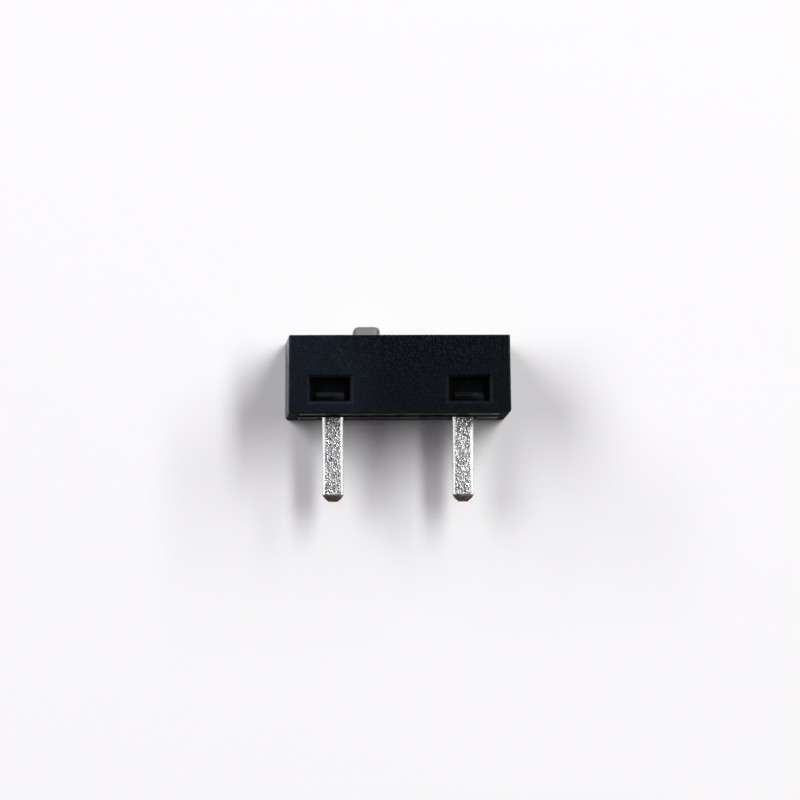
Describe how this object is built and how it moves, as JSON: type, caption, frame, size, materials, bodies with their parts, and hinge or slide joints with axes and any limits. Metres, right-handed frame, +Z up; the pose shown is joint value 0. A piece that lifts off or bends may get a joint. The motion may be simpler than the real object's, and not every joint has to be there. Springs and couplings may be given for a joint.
{
  "type": "waterproof switch",
  "caption": "Sealed subminiature snap-action switch: black snap-together housing, grey push button on its long roof, flat solder pins below for a circuit board.",
  "frame": {"origin": "on the plane of the seating rib, midway between the two pins", "axes": "+X along the long side, towards the open-contact pin; +Y across the thickness, towards a large face; +Z up, out of the button; the pins point to -Z"},
  "size_m": [0.0128, 0.0058, 0.01],
  "materials": {
    "black_shell": "fine eroded moulding texture, glass-filled, blue-black",
    "black_base": "smooth moulded, satin black",
    "grey_button": "smooth moulded, mid grey",
    "tinned_brass": "bright tin plate over stamped brass, bare metal at the cut tips",
    "spring_bronze": "rolled spring strip",
    "silver": "polished silver alloy",
    "zinc_steel": "zinc-plated sheet",
    "black_resin": "cured epoxy, slightly sunken",
    "red_silicone": "moulded silicone rubber",
    "dark_rubber": "moulded rubber"
  },
  "bodies": {
    "housing": {"cover": "black_shell", "base": "black_base", "perimeter_gasket": "dark_rubber", "common_terminal": "tinned_brass", "open_terminal": "tinned_brass", "rest_stop": "tinned_brass", "fixed_contact": "silver", "common_seal": "black_resin", "open_seal": "black_resin", "plunger_boot": "red_silicone", "boot_retainer": "zinc_steel"},
    "button": {"plunger": "grey_button"},
    "blade": {"snap_blade": "spring_bronze", "moving_contact": "silver"}
  },
  "joints": [
    {"name": "button_press", "type": "slide", "parent": "housing", "child": "button", "axis": [0, 0, -1], "range_m": [0, 0.0004], "stiffness_N_per_m": 2000, "springref_m": -0.0002, "deforming": ["plunger_boot"]},
    {"name": "blade_snap", "type": "hinge", "parent": "housing", "child": "blade", "pos_m": [-0.00445, 0, 0.00274], "axis": [0, 1, 0], "range_deg": [0, 3.4]}
  ],
  "couplings": [
    {"joint": "blade_snap", "follows": "button_press", "rad_per_m": 145}
  ]
}
